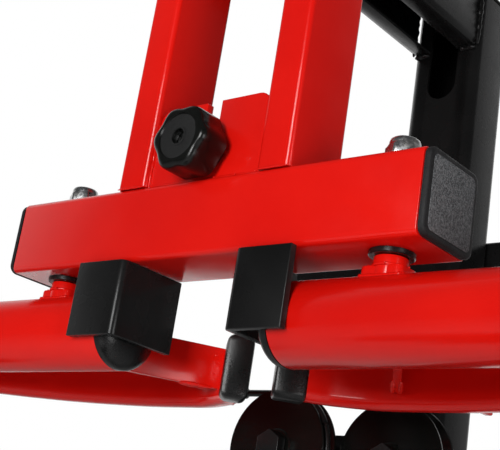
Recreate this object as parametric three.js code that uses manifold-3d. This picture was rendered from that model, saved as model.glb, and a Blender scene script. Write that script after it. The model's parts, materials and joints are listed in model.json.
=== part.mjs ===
// Adjustable weight bench with an overhead butterfly yoke. Millimetres, +Z up, +Y towards the mast.
// The bench frame has y = 0 at the front face of the yoke beam and z = 0 on the floor.
import * as THREE from 'three';
import { mergeVertices } from 'three/addons/utils/BufferGeometryUtils.js';
import Module from 'manifold-3d';

const wasm = await Module();
wasm.setup();

// ---- driving dimensions ----
const GAP = 0.3; // left between pieces that touch
const WALL = 2.5; // tube wall
const FOOT = { size: 60, z: 35, corner: 6 };
const FRONT_FOOT = { y: -510, half: 200 };
const REAR_FOOT = { y: 430, half: 300 };
const SHOE = { wall: 5, grip: 38 };

const MAST = { width: 60, depth: 50, front: 255, top: 1640, corner: 9 };
const HEAD_ARM = { width: 60, height: 50, bottom: 1588.5, front: -2 };
const CROSSBAR = { half: 228, depth: 30, height: 25, bottom: 1414 };

const BEAM = { half: 163, size: 50, bottom: 1330, corner: 4, cap: 4.2 };
const POST = { centre: 58.8, width: 25, top: 1635 };
const YOKE_BOLT_Z = [1602, 1624];
const SLOT_PLATE = { front: 4, thickness: 6, height: 53.2, slot: 12, slotZ: 1399, corner: 9 };
const STOP = { height: 48.5, wall: 5, depth: 48, inner: 45.5, outer: 87, bend: 4.5 };
const PIVOT = { x: 133, y: 25, shaft: 6, bore: 6.4, bush: 9.8, washer: 13, nut: 13, nutTop: 16.5 };

const ARM = { radius: 25, z: BEAM.bottom - 38.7, outer: 470 };
const PLUG = { rim: 2.5, dome: 11, depth: 15 };
const ARM_INNER = { left: 68.6, right: 71.2 };
const BRACE = { width: 15, height: 39, z: BEAM.bottom - 47.5, corner: 5 };
const BRACE_ROUTE = [
  [345, 32], [300, 60], [246, 88], [194, 108], [135, 119],
  [86, 120], [65.8, 117.3], [47, 109.5], [37.8, 103.7], [30.2, 96.1],
];
const BRACE_CAP = { length: 20.5, height: 42, width: 18, corner: 4.5, heading: 45 };
// Each web is a plate on edge between an arm tube and its brace. Its centre and turn are seen from above.
const WEB = { thickness: 5, low: -10.5, high: 17.5, near: -34 };
const WEB_AT = {
  left: { centre: [-73, 69], turn: 57, far: 46 },
  right: { centre: [116.5, 67.5], turn: 123.5, far: 60 },
};
// The block under each pivot bush.
const SADDLE = { from: -14.5, to: 12.5, width: 18, top: -9, base: -21, corner: 4 };
const ROD = { x: 445, radius: 12.5, bottom: 936 };
const ELBOW_PAD = { radius: 42, bottom: 950, top: 1232 };

const PULLEY = { radius: 41.5, groove: 36.4, width: 16, bore: 6.4 };
const PULLEY_AT = { left: [-44, 172, BEAM.bottom - 84.5], right: [39, 190.5, BEAM.bottom - 88] };
const CABLE = { radius: 2.5, ride: 39.5, lug: 100 };
const CARRIAGE = { bottom: 420, top: 540, clearance: 1.3, wall: 5, tabZ: 470, tab: 8 };
const PEG = { radius: 12.5, end: 215, flange: 38 };

const RAIL = { width: 50, bottom: 360, top: 410, front: -560, back: -135 };
const SEAT_POST_Y = -300;
const SEAT = { half: 150, front: -548, back: -238, bottom: 415.5, top: 472 };
const HINGE = { y: -165, z: 435, shaft: 6 };
const BACK_ANGLE = 80; // degrees above the horizontal at rest
const BACK_PAD = { half: 140, from: 72, to: 690, near: 26, far: 82 };
const PAD_EDGE = { bevelThickness: 8, bevelSize: 8, bevelOffset: -8, bevelSegments: 1, curveSegments: 3 };
const SPINE = { from: -14, to: 640, width: 30, depth: 40 };
const LATCH = { radius: 80, pin: 5, slot: 5.6, upright: 80, reclined: 62 };
const LEG = { y: -590, z: 385, width: 38, bottom: 112, rod: 12.5 };
const ROLLER = { radius: 40, inner: 36, outer: 190 };

// The origin of the whole bench lies on the floor, midway between the front rollers and the rear shoes.
const FRONT_MOST = LEG.y - LEG.width / 2 - LEG.rod + 3 - ROLLER.radius;
const REAR_MOST = REAR_FOOT.y + FOOT.size / 2 + SHOE.wall;
const FRAME_SHIFT = -(FRONT_MOST + REAR_MOST) / 2;

// ---- materials ----
const material = (color, roughness, metalness = 0) => {
  return new THREE.MeshStandardMaterial({ color, roughness, metalness });
};
const RED = material(0xd9190f, 0.25);
const BLACK = material(0x1d1d1d, 0.35);
const CAP_GREY = material(0x55585a, 0.8);
const GLOSS_BLACK = material(0x121212, 0.2);
const RUBBER = material(0x1a1a1a, 0.7);
const ZINC = material(0x9a9c9c, 0.3, 1);
const VINYL = material(0x1b1b1c, 0.5);
const FOAM = material(0x202020, 0.9);

// ---- solids ----
function solidOf(geometry) {
  const bare = geometry.index ? geometry.toNonIndexed() : geometry.clone();
  bare.deleteAttribute('normal');
  bare.deleteAttribute('uv');
  const merged = mergeVertices(bare, 1e-3);
  const mesh = new wasm.Mesh({
    numProp: 3,
    vertProperties: new Float32Array(merged.attributes.position.array),
    triVerts: new Uint32Array(merged.index.array),
  });
  return new wasm.Manifold(mesh);
}

function geometryOf(solid) {
  const mesh = solid.getMesh();
  const geometry = new THREE.BufferGeometry();
  geometry.setAttribute('position', new THREE.BufferAttribute(new Float32Array(mesh.vertProperties), 3));
  geometry.setIndex(new THREE.BufferAttribute(new Uint32Array(mesh.triVerts), 1));
  return geometry;
}

function join(first, ...others) {
  return geometryOf(others.reduce((sum, other) => sum.add(solidOf(other)), solidOf(first)));
}

function cut(first, ...tools) {
  return geometryOf(tools.reduce((rest, tool) => rest.subtract(solidOf(tool)), solidOf(first)));
}

function roundedShape(width, height, corner, Kind = THREE.Shape) {
  const x = width / 2;
  const y = height / 2;
  const shape = new Kind();
  shape.moveTo(x, -y + corner);
  shape.lineTo(x, y - corner);
  shape.absarc(x - corner, y - corner, corner, 0, Math.PI / 2);
  shape.lineTo(-x + corner, y);
  shape.absarc(-x + corner, y - corner, corner, Math.PI / 2, Math.PI);
  shape.lineTo(-x, -y + corner);
  shape.absarc(-x + corner, -y + corner, corner, Math.PI, 1.5 * Math.PI);
  shape.lineTo(x - corner, -y);
  shape.absarc(x - corner, -y + corner, corner, 1.5 * Math.PI, 2 * Math.PI);
  return shape;
}

// A prism of a shape, from low to high along an axis.
// Along X the shape's x is height, and along Y and Z it is width.
function prism(shape, axis, low, high, curveSegments = 1) {
  const depth = high - low;
  const geometry = new THREE.ExtrudeGeometry(shape, { depth, bevelEnabled: false, curveSegments });
  geometry.translate(0, 0, low);
  if (axis === 'x') geometry.rotateY(Math.PI / 2);
  if (axis === 'y') geometry.rotateX(-Math.PI / 2);
  return geometry;
}

function bar(axis, low, high, a, b, corner, wall = 0) {
  const shape = roundedShape(a, b, corner);
  if (wall > 0) {
    shape.holes.push(roundedShape(a - 2 * wall, b - 2 * wall, Math.max(corner - wall, 0.8), THREE.Path));
  }
  return prism(shape, axis, low, high);
}

function box(x0, x1, y0, y1, z0, z1) {
  const geometry = new THREE.BoxGeometry(x1 - x0, y1 - y0, z1 - z0);
  return geometry.translate((x0 + x1) / 2, (y0 + y1) / 2, (z0 + z1) / 2);
}

// A round bar or a prism with flat sides, centred on (u, v) of the plane across the axis.
function rod(axis, low, high, radius, at, sides = 16) {
  const geometry = new THREE.CylinderGeometry(radius, radius, high - low, sides);
  geometry.translate(0, (low + high) / 2, 0);
  if (axis === 'x') geometry.rotateZ(-Math.PI / 2).translate(0, at[0], at[1]);
  if (axis === 'y') geometry.translate(at[0], 0, at[1]);
  if (axis === 'z') geometry.rotateX(Math.PI / 2).translate(at[0], at[1], 0);
  return geometry;
}

const hexRadius = (acrossFlats) => acrossFlats / Math.sqrt(3);
const arc = (cx, cy, radius, from, to, steps) => Array.from({ length: steps + 1 }, (_, i) => {
  const angle = THREE.MathUtils.degToRad(from + ((to - from) * i) / steps);
  return new THREE.Vector2(cx + radius * Math.cos(angle), cy + radius * Math.sin(angle));
});

// ---- scene graph ----
const bench = new THREE.Group();
bench.position.y = FRAME_SHIFT;

function add(name, geometry, paint, parent = bench) {
  const mesh = new THREE.Mesh(geometry, paint);
  mesh.name = name;
  parent.add(mesh);
  return mesh;
}

const SIDES = [['left', -1], ['right', 1]];
// A span that is measured outwards from the middle plane, as lowest and highest x on one side.
const span = (sign, inner, outer) => (sign > 0 ? [inner, outer] : [-outer, -inner]);

// ---- base ----
function buildBase() {
  const half = FOOT.size / 2;
  const railFront = FRONT_FOOT.y + half + GAP;
  const railBack = REAR_FOOT.y - half - GAP;
  const rail = bar('y', railFront, railBack, FOOT.size, FOOT.size, FOOT.corner, WALL);
  add('base_rail', rail.translate(0, 0, FOOT.z), BLACK);
  for (const [name, foot] of [['front_foot', FRONT_FOOT], ['rear_foot', REAR_FOOT]]) {
    const tube = bar('x', -foot.half, foot.half, FOOT.size, FOOT.size, FOOT.corner, WALL);
    add(name, tube.translate(0, foot.y, FOOT.z), BLACK);
    for (const [side, sign] of SIDES) {
      const outer = FOOT.size + 2 * SHOE.wall;
      const [x0, x1] = span(sign, foot.half - SHOE.grip, foot.half + SHOE.wall);
      const [p0, p1] = span(sign, foot.half - SHOE.grip - 5, foot.half + GAP);
      const shoe = bar('x', x0, x1, outer, outer, 9).translate(0, foot.y, FOOT.z);
      const pocket = bar('x', p0, p1, FOOT.size + 2 * GAP, FOOT.size + 2 * GAP, FOOT.corner);
      add(`${name}_shoe_${side}`, cut(shoe, pocket.translate(0, foot.y, FOOT.z)), RUBBER);
    }
  }
}

// ---- mast, head arm and crossbar ----
function buildMast() {
  const centre = MAST.front + MAST.depth / 2;
  const low = FOOT.z + FOOT.size / 2 + GAP;
  const tube = bar('z', low, MAST.top, MAST.width, MAST.depth, MAST.corner, WALL).translate(0, centre, 0);
  const collarShape = roundedShape(MAST.width + 14, MAST.depth + 14, 10);
  collarShape.holes.push(roundedShape(MAST.width - 2, MAST.depth - 2, MAST.corner - 1, THREE.Path));
  const collar = prism(collarShape, 'z', CARRIAGE.bottom - 20, CARRIAGE.bottom - GAP).translate(0, centre, 0);
  const slotWall = [MAST.front - 5, MAST.front + 10];
  const slot = join(
    rod('y', slotWall[0], slotWall[1], 13, [0, 1560], 16),
    box(-13, 13, slotWall[0], slotWall[1], 1560, 1612),
  );
  add('mast', cut(join(tube, collar), slot), BLACK);

  const lid = bar('z', MAST.top + GAP, MAST.top + 5, MAST.width, MAST.depth, MAST.corner);
  const spigot = bar('z', MAST.top - 14, MAST.top + 1, MAST.width - 6, MAST.depth - 6, 6);
  add('mast_cap', join(lid, spigot).translate(0, centre, 0), GLOSS_BLACK);

  const armZ = HEAD_ARM.bottom + HEAD_ARM.height / 2;
  const arm = bar('y', HEAD_ARM.front, MAST.front - GAP, HEAD_ARM.width, HEAD_ARM.height, 7, WALL);
  arm.translate(0, 0, armZ);
  const inner = POST.centre - POST.width / 2 - GAP;
  const spacers = SIDES.map(([, sign]) => {
    const [x0, x1] = span(sign, HEAD_ARM.width / 2 - 1, inner);
    return box(x0, x1, 4, 46, HEAD_ARM.bottom + 2, HEAD_ARM.bottom + HEAD_ARM.height - 2);
  });
  const underSlot = join(
    rod('z', HEAD_ARM.bottom - 5, HEAD_ARM.bottom + 8, 13, [0, 110], 16),
    box(-13, 13, 110, MAST.front, HEAD_ARM.bottom - 5, HEAD_ARM.bottom + 8),
  );
  const holes = YOKE_BOLT_Z.map((z) => rod('x', -60, 60, 5.5, [25, z], 16));
  add('head_arm', cut(join(arm, ...spacers), underSlot, ...holes), BLACK);

  const back = MAST.front + MAST.depth + GAP;
  const crossbar = bar('x', -CROSSBAR.half, CROSSBAR.half, CROSSBAR.height, CROSSBAR.depth, 4, WALL);
  crossbar.translate(0, back + CROSSBAR.depth / 2, CROSSBAR.bottom + CROSSBAR.height / 2);
  add('crossbar', crossbar, BLACK);
}

// ---- yoke: beam, posts, slotted plate, stops and bolts ----
function buildYoke() {
  const middle = BEAM.size / 2;
  const beamZ = BEAM.bottom + middle;
  const beamTop = BEAM.bottom + BEAM.size;
  const beam = bar('x', -BEAM.half, BEAM.half, BEAM.size, BEAM.size, BEAM.corner, WALL);
  beam.translate(0, middle, beamZ);
  const pivotHoles = SIDES.map(([, sign]) => {
    return rod('z', BEAM.bottom - 5, beamTop + 5, PIVOT.bore, [sign * PIVOT.x, PIVOT.y], 20);
  });
  add('yoke_beam', cut(beam, ...pivotHoles), RED);

  for (const [side, sign] of SIDES) {
    const [c0, c1] = span(sign, BEAM.half + GAP, BEAM.half + GAP + BEAM.cap);
    const [s0, s1] = span(sign, BEAM.half - 14, BEAM.half + 1);
    const lid = bar('x', c0, c1, BEAM.size, BEAM.size, 6);
    const spigot = bar('x', s0, s1, BEAM.size - 6, BEAM.size - 6, 3);
    add(`beam_cap_${side}`, join(lid, spigot).translate(0, middle, beamZ), CAP_GREY);

    const post = bar('z', beamTop + GAP, POST.top, POST.width, BEAM.size, 3.5, WALL);
    post.translate(sign * POST.centre, middle, 0);
    const holes = YOKE_BOLT_Z.map((z) => rod('x', -90, 90, 5.5, [middle, z], 16));
    add(`yoke_post_${side}`, cut(post, ...holes), RED);

    const stopLow = BEAM.bottom - STOP.height;
    const stopHigh = BEAM.bottom - GAP;
    const stopFront = -GAP - STOP.wall;
    const angleIron = [
      ...arc(STOP.inner + STOP.bend, stopFront + STOP.bend, STOP.bend, 180, 270, 4),
      new THREE.Vector2(STOP.outer, stopFront),
      new THREE.Vector2(STOP.outer, -GAP),
      new THREE.Vector2(STOP.inner + STOP.wall, -GAP),
      new THREE.Vector2(STOP.inner + STOP.wall, STOP.depth),
      new THREE.Vector2(STOP.inner, STOP.depth),
    ].map((p) => new THREE.Vector2(sign * p.x, p.y));
    add(`stop_${side}`, prism(new THREE.Shape(angleIron), 'z', stopLow, stopHigh), BLACK);

    const x = sign * PIVOT.x;
    const shank = rod('z', BEAM.bottom - 9, beamTop + 6, PIVOT.shaft, [x, PIVOT.y], 20);
    const nut = rod('z', beamTop + GAP, beamTop + PIVOT.nut, hexRadius(19), [x, PIVOT.y], 6);
    const collar = rod('z', beamTop + PIVOT.nut - 1, beamTop + PIVOT.nutTop, 8.8, [x, PIVOT.y], 16);
    add(`pivot_bolt_${side}`, join(shank, nut, collar), ZINC);
    const ring = rod('z', BEAM.bottom - 3.2, BEAM.bottom - GAP, PIVOT.washer, [x, PIVOT.y], 24);
    const eye = rod('z', BEAM.bottom - 6, BEAM.bottom + 3, PIVOT.bore, [x, PIVOT.y], 20);
    add(`pivot_washer_${side}`, cut(ring, eye), RUBBER);
  }

  const half = POST.centre - POST.width / 2 - GAP;
  const corner = SLOT_PLATE.corner;
  const top = beamTop + GAP + SLOT_PLATE.height;
  const outline = new THREE.Shape();
  outline.moveTo(-half, beamTop + GAP);
  outline.lineTo(half, beamTop + GAP);
  outline.lineTo(half, top - corner);
  outline.absarc(half - corner, top - corner, corner, 0, Math.PI / 2);
  outline.lineTo(SLOT_PLATE.slot / 2, top);
  outline.lineTo(SLOT_PLATE.slot / 2, SLOT_PLATE.slotZ);
  outline.absarc(0, SLOT_PLATE.slotZ, SLOT_PLATE.slot / 2, 0, Math.PI, true);
  outline.lineTo(-SLOT_PLATE.slot / 2, top);
  outline.lineTo(-half + corner, top);
  outline.absarc(-half + corner, top - corner, corner, Math.PI / 2, Math.PI);
  const plate = new THREE.ExtrudeGeometry(outline, {
    depth: SLOT_PLATE.thickness, bevelEnabled: false, curveSegments: 3,
  });
  plate.rotateX(Math.PI / 2).translate(0, SLOT_PLATE.front + SLOT_PLATE.thickness, 0);
  add('slotted_plate', plate, RED);

  YOKE_BOLT_Z.forEach((z, i) => {
    const outside = POST.centre + POST.width / 2 + GAP;
    const shank = rod('x', -outside - 2, outside + 13, 5, [middle, z], 16);
    const head = rod('x', -outside - 6.4, -outside, hexRadius(17), [middle, z], 6);
    const nut = rod('x', outside, outside + 9, hexRadius(17), [middle, z], 6);
    add(`yoke_bolt_${['lower', 'upper'][i]}`, join(shank, head, nut), ZINC);
  });
}

// ---- clamp knob and its bolt ----
function buildKnob() {
  const z = SLOT_PLATE.slotZ;
  const lobes = new THREE.Shape();
  const steps = 36;
  for (let i = 0; i < steps; i += 1) {
    const angle = (2 * Math.PI * i) / steps;
    const radius = 20.6 + 1.1 * Math.cos(6 * angle);
    lobes[i === 0 ? 'moveTo' : 'lineTo'](radius * Math.cos(angle), radius * Math.sin(angle));
  }
  lobes.closePath();
  const front = -23.4;
  const grip = prism(lobes, 'y', front, -4).translate(0, 0, z);
  const collar = rod('y', -6, SLOT_PLATE.front - GAP, 16, [0, z], 20);
  const bore = rod('y', front - 1, SLOT_PLATE.front + 1, 5, [0, z], 20);
  const dish = rod('y', front - 1, front + 1.5, 14.5, [0, z], 20);
  add('clamp_knob', cut(join(grip, collar), dish, bore), GLOSS_BLACK);

  const behind = SLOT_PLATE.front + SLOT_PLATE.thickness + GAP;
  const shank = rod('y', front + 6, behind + 10, 4.6, [0, z], 16);
  const head = rod('y', behind, behind + 7, 13, [0, z], 16);
  add('clamp_bolt', join(shank, head), ZINC);
}

// ---- fly arms ----
function braceGeometry(side, sign) {
  const route = BRACE_ROUTE.map(([x, y]) => new THREE.Vector3(sign * x, y, BRACE.z));
  const path = new THREE.CatmullRomCurve3(route, false, 'centripetal');
  const section = roundedShape(BRACE.height, BRACE.width, BRACE.corner);
  const tube = new THREE.ExtrudeGeometry(section, { steps: 18, extrudePath: path, curveSegments: 1 });

  const { centre, turn, far } = WEB_AT[side];
  const halfWeb = WEB.thickness / 2;
  const web = box(WEB.near, far, -halfWeb, halfWeb, BRACE.z + WEB.low, BRACE.z + WEB.high);
  web.rotateZ(THREE.MathUtils.degToRad(turn)).translate(centre[0], centre[1], 0);
  const lugY = PULLEY_AT[side][1];
  const lug = box(...span(sign, CABLE.lug, CABLE.lug + 6), 118, lugY + 7, BEAM.bottom - 53, BEAM.bottom - 36);
  const armSpace = rod('x', -600, 600, ARM.radius + GAP, [PIVOT.y, ARM.z], 24);
  return cut(join(tube, web, lug), armSpace);
}

function buildArms() {
  for (const [side, sign] of SIDES) {
    const x = sign * PIVOT.x;
    const inner = ARM_INNER[side];
    const outerTube = rod('x', ...span(sign, inner, ARM.outer), ARM.radius, [PIVOT.y, ARM.z], 24);
    const bore = rod('x', ...span(sign, inner - 1, ARM.outer + 1), ARM.radius - WALL, [PIVOT.y, ARM.z], 24);
    const bushTop = BEAM.bottom - 3.5;
    const bush = rod('z', ARM.z + 23.5, bushTop, PIVOT.bush, [x, PIVOT.y], 24);
    const saddleAt = x + (SADDLE.from + SADDLE.to) / 2;
    const saddleLength = SADDLE.to - SADDLE.from;
    const [saddleLow, saddleHigh] = [BEAM.bottom + SADDLE.base, BEAM.bottom + SADDLE.top];
    const saddle = bar('z', saddleLow, saddleHigh, saddleLength, SADDLE.width, SADDLE.corner);
    saddle.translate(saddleAt, PIVOT.y, 0);
    const shaftHole = rod('z', BEAM.bottom - 13, bushTop + 1, PIVOT.bore, [x, PIVOT.y], 20);
    const tube = cut(join(cut(outerTube, bore), cut(join(saddle, bush), bore)), shaftHole);
    add(`arm_tube_${side}`, tube, RED);

    const face = inner - GAP;
    const dome = new THREE.LatheGeometry([
      new THREE.Vector2(0, -PLUG.rim - PLUG.dome),
      ...arc(0, 0, 1, -82, -8, 6).map((p) => {
        return new THREE.Vector2(ARM.radius * p.x, -PLUG.rim + PLUG.dome * p.y);
      }),
      new THREE.Vector2(ARM.radius, -PLUG.rim),
      new THREE.Vector2(ARM.radius, 0),
      new THREE.Vector2(ARM.radius - WALL - 0.4, 0),
      new THREE.Vector2(ARM.radius - WALL - 0.4, PLUG.depth),
      new THREE.Vector2(0, PLUG.depth),
    ], 20);
    dome.rotateZ(-sign * Math.PI / 2).translate(sign * face, PIVOT.y, ARM.z);
    add(`arm_plug_${side}`, dome, RUBBER);

    add(`brace_${side}`, braceGeometry(side, sign), RED);
    const last = BRACE_ROUTE.at(-1);
    const { length, height, width, corner, heading } = BRACE_CAP;
    const cap = bar('x', ...span(sign, -length, -GAP), height, width, corner);
    cap.rotateZ(sign * THREE.MathUtils.degToRad(heading)).translate(sign * last[0], last[1], BRACE.z);
    add(`brace_cap_${side}`, cap, RUBBER);

    const rodX = sign * ROD.x;
    const stem = rod('z', ROD.bottom + 8, ARM.z, ROD.radius, [rodX, PIVOT.y], 16);
    const sleeve = rod('z', ARM.z - ARM.radius - 26, ARM.z, ROD.radius + 6, [rodX, PIVOT.y], 16);
    const tip = rod('z', ROD.bottom, ROD.bottom + 10, ROD.radius + 3, [rodX, PIVOT.y], 16);
    const armSpace = rod('x', -600, 600, ARM.radius + GAP, [PIVOT.y, ARM.z], 24);
    add(`pad_rod_${side}`, cut(join(stem, sleeve, tip), armSpace), BLACK);
    const foam = rod('z', ELBOW_PAD.bottom, ELBOW_PAD.top, ELBOW_PAD.radius, [rodX, PIVOT.y], 20);
    const foamBore = rod('z', ELBOW_PAD.bottom - 1, ELBOW_PAD.top + 1, ROD.radius + GAP, [rodX, PIVOT.y], 16);
    add(`elbow_pad_${side}`, cut(foam, foamBore), FOAM);
  }
}

// ---- pulleys, bracket and cables ----
function buildCables() {
  const half = PULLEY.width / 2;
  for (const [side, sign] of SIDES) {
    const [x, y, z] = PULLEY_AT[side];
    const wheel = new THREE.LatheGeometry([
      new THREE.Vector2(PULLEY.bore, -half),
      new THREE.Vector2(PULLEY.radius, -half),
      new THREE.Vector2(PULLEY.radius, -half + 2),
      new THREE.Vector2(PULLEY.groove, -3.2),
      new THREE.Vector2(PULLEY.groove, 3.2),
      new THREE.Vector2(PULLEY.radius, half - 2),
      new THREE.Vector2(PULLEY.radius, half),
      new THREE.Vector2(PULLEY.bore, half),
      new THREE.Vector2(PULLEY.bore, -half),
    ], 16);
    add(`pulley_${side}`, wheel.translate(x, y, z), BLACK);

    // Over the pulley the cable comes from its arm's lug, and it drops on the far side.
    const top = z + CABLE.ride;
    const start = new THREE.Vector3(sign * (CABLE.lug - GAP), y, top);
    const route = [start, new THREE.Vector3((start.x + x) / 2, y, top)];
    for (const angle of [0, 15, 30, 45, 60, 75, 90]) {
      const turn = THREE.MathUtils.degToRad(90 + sign * angle);
      route.push(new THREE.Vector3(x + CABLE.ride * Math.cos(turn), y, z + CABLE.ride * Math.sin(turn)));
    }
    const dropX = x - sign * CABLE.ride;
    route.push(new THREE.Vector3(dropX, y, z - 25));
    const path = new THREE.CatmullRomCurve3(route, false, 'centripetal');
    const section = new THREE.Shape();
    section.absarc(0, 0, CABLE.radius, 0, 2 * Math.PI);
    const wrap = new THREE.ExtrudeGeometry(section, { steps: 16, extrudePath: path, curveSegments: 4 });
    add(`cable_wrap_${side}`, wrap, RUBBER);
    const runLow = CARRIAGE.tabZ + CARRIAGE.tab + GAP;
    add(`cable_run_${side}`, rod('z', runLow, z - 25 - GAP, CABLE.radius, [dropX, y], 8), RUBBER);
  }

  const plateFront = PULLEY_AT.right[1] + half + 2;
  const [lx, , lz] = PULLEY_AT.left;
  const [rx, , rz] = PULLEY_AT.right;
  const plate = box(-64, 60, plateFront, plateFront + 6, lz - 24, lz + 16);
  const reach = box(-16, 16, plateFront + 5, MAST.front - GAP, lz - 18, lz + 12);
  const studs = [[lx, lz, PULLEY_AT.left[1]], [rx, rz, PULLEY_AT.right[1]]].flatMap(([x, z, y]) => [
    rod('y', y - half - 3, plateFront + 12, 6, [x, z], 20),
    rod('y', y - half - 9, y - half - 1, hexRadius(19), [x, z], 6),
    rod('y', y + half + 1, plateFront + 1, 9, [x, z], 20),
  ]);
  add('pulley_bracket', join(plate, reach, ...studs), BLACK);
}

// ---- weight carriage that rides on the mast ----
function buildCarriage() {
  const centre = MAST.front + MAST.depth / 2;
  const spaceX = MAST.width + 2 * CARRIAGE.clearance;
  const spaceY = MAST.depth + 2 * CARRIAGE.clearance;
  const outerX = spaceX + 2 * CARRIAGE.wall;
  const outerY = spaceY + 2 * CARRIAGE.wall;
  const shell = bar('z', CARRIAGE.bottom, CARRIAGE.top, outerX, outerY, 8).translate(0, centre, 0);
  const mastSpace = bar('z', CARRIAGE.bottom - 5, CARRIAGE.top + 5, spaceX, spaceY, 7);
  mastSpace.translate(0, centre, 0);
  const front = centre - outerY / 2;
  const tab = box(-26, 20, 160, front + 2, CARRIAGE.tabZ, CARRIAGE.tabZ + CARRIAGE.tab);
  const rib = box(-4, 4, 166, front + 2, CARRIAGE.tabZ - 30, CARRIAGE.tabZ + 1);
  const pegZ = (CARRIAGE.bottom + CARRIAGE.top) / 2;
  const pegs = SIDES.flatMap(([, sign]) => [
    rod('x', ...span(sign, outerX / 2 - 2, PEG.end), PEG.radius, [centre, pegZ], 16),
    rod('x', ...span(sign, outerX / 2 - 2, outerX / 2 + 5), PEG.flange, [centre, pegZ], 20),
  ]);
  add('weight_carriage', cut(join(shell, tab, rib, ...pegs), mastSpace), BLACK);
}

// ---- bench: post, rail, seat, back and the clamp that holds its angle ----
function buildBench() {
  const footTop = FOOT.z + FOOT.size / 2;
  const half = RAIL.width / 2;
  const railZ = (RAIL.bottom + RAIL.top) / 2;
  const post = bar('z', footTop + GAP, RAIL.bottom - GAP, RAIL.width, RAIL.width, 5, WALL);
  post.translate(0, SEAT_POST_Y, 0);
  add('seat_post', post, BLACK);

  const tube = bar('y', RAIL.front, RAIL.back, RAIL.width, RAIL.width, 5, WALL).translate(0, 0, railZ);
  const ears = SIDES.flatMap(([, sign]) => {
    const [x0, x1] = span(sign, half - 0.5, half + 6);
    return [
      box(x0, x1, HINGE.y - 27, HINGE.y + 100, RAIL.bottom + 14, HINGE.z + 20),
      box(x0, x1, LEG.y - 25, RAIL.front + 30, LEG.z - 20, LEG.z + 20),
      box(x0, x1, LEG.y - 25, LEG.y + 15, LEG.z + 19, LEG.z + 70),
    ];
  });
  const crossPlates = [SEAT.front + 60, SEAT.back - 60].map((y) => {
    return box(-110, 110, y - 18, y + 18, RAIL.top - 1, RAIL.top + 5);
  });
  const holdRod = rod('x', -ROLLER.outer - 6, ROLLER.outer + 6, LEG.rod, [LEG.y - 8, LEG.z + 55], 16);
  const latchY = HINGE.y + LATCH.radius;
  const housing = rod('x', half + 5, half + 20, 10, [latchY, HINGE.z], 16);
  const legPin = rod('x', -half - 10, half + 10, 7, [LEG.y, LEG.z], 20);
  const hingeHole = rod('x', -60, 60, HINGE.shaft + 0.4, [HINGE.y, HINGE.z], 20);
  const latchHole = rod('x', -60, 60, LATCH.pin + 0.4, [latchY, HINGE.z], 20);
  const rail = cut(join(tube, ...ears, ...crossPlates, holdRod, housing, legPin), hingeHole, latchHole);
  add('seat_rail', rail, BLACK);

  const seat = roundedShape(2 * SEAT.half, SEAT.back - SEAT.front, 16);
  const cushion = new THREE.ExtrudeGeometry(seat, {
    ...PAD_EDGE,
    depth: SEAT.top - SEAT.bottom - 2 * PAD_EDGE.bevelThickness,
  });
  cushion.translate(0, (SEAT.front + SEAT.back) / 2, SEAT.bottom + PAD_EDGE.bevelThickness);
  add('seat_pad', cushion, VINYL);

  // The back assembly is drawn lying along +Y from its hinge, and the group tips it up to its rest angle.
  const back = new THREE.Group();
  back.position.set(0, HINGE.y, HINGE.z);
  back.rotation.x = THREE.MathUtils.degToRad(BACK_ANGLE);
  bench.add(back);
  const spine = bar('y', SPINE.from, SPINE.to, SPINE.width, SPINE.depth, 4);
  const braces = [160, 560].map((s) => box(-100, 100, s - 18, s + 18, 19, 25.6));
  const sector = new THREE.Shape();
  const first = THREE.MathUtils.degToRad(-LATCH.upright);
  const last = THREE.MathUtils.degToRad(-LATCH.reclined);
  const margin = THREE.MathUtils.degToRad(9);
  sector.moveTo(0, 12);
  sector.lineTo(-2, -8);
  sector.absarc(0, 0, LATCH.radius + 13, first - margin, last + margin);
  sector.lineTo(60, -14);
  sector.lineTo(60, 12);
  const slot = new THREE.Path();
  const slotEnd = (angle, from) => {
    const x = LATCH.radius * Math.cos(angle);
    const y = LATCH.radius * Math.sin(angle);
    slot.absarc(x, y, LATCH.slot, from, from + Math.PI);
  };
  slot.absarc(0, 0, LATCH.radius + LATCH.slot, first, last);
  slotEnd(last, last);
  slot.absarc(0, 0, LATCH.radius - LATCH.slot, last, first, true);
  slotEnd(first, first + Math.PI);
  sector.holes.push(slot);
  const sectorPlate = new THREE.ExtrudeGeometry(sector, { depth: 6, bevelEnabled: false, curveSegments: 5 });
  // The sector's plane stands up along the back, with its x along the spine and its y away from the sitter.
  sectorPlate.applyMatrix4(new THREE.Matrix4().makeBasis(
    new THREE.Vector3(0, 1, 0), new THREE.Vector3(0, 0, 1), new THREE.Vector3(1, 0, 0),
  ));
  sectorPlate.translate(14.5, 0, 0);
  const shaftHole = rod('x', -40, 40, HINGE.shaft + 0.4, [0, 0], 20);
  add('back_frame', cut(join(spine, ...braces, sectorPlate), shaftHole), BLACK, back);

  const padShape = roundedShape(2 * BACK_PAD.half, BACK_PAD.to - BACK_PAD.from, 45);
  const padSolid = new THREE.ExtrudeGeometry(padShape, {
    ...PAD_EDGE,
    depth: BACK_PAD.far - BACK_PAD.near - 2 * PAD_EDGE.bevelThickness,
  });
  padSolid.translate(0, (BACK_PAD.from + BACK_PAD.to) / 2, BACK_PAD.near + PAD_EDGE.bevelThickness);
  add('back_pad', padSolid, VINYL, back);

  const pinBody = rod('x', -half - 8, half + 8, HINGE.shaft, [HINGE.y, HINGE.z], 20);
  const pinHead = rod('x', half + 6 + GAP, half + 14, hexRadius(19), [HINGE.y, HINGE.z], 6);
  const pinNut = rod('x', -half - 14, -half - 6 - GAP, hexRadius(19), [HINGE.y, HINGE.z], 6);
  add('back_pin', join(pinBody, pinHead, pinNut), ZINC);

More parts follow.
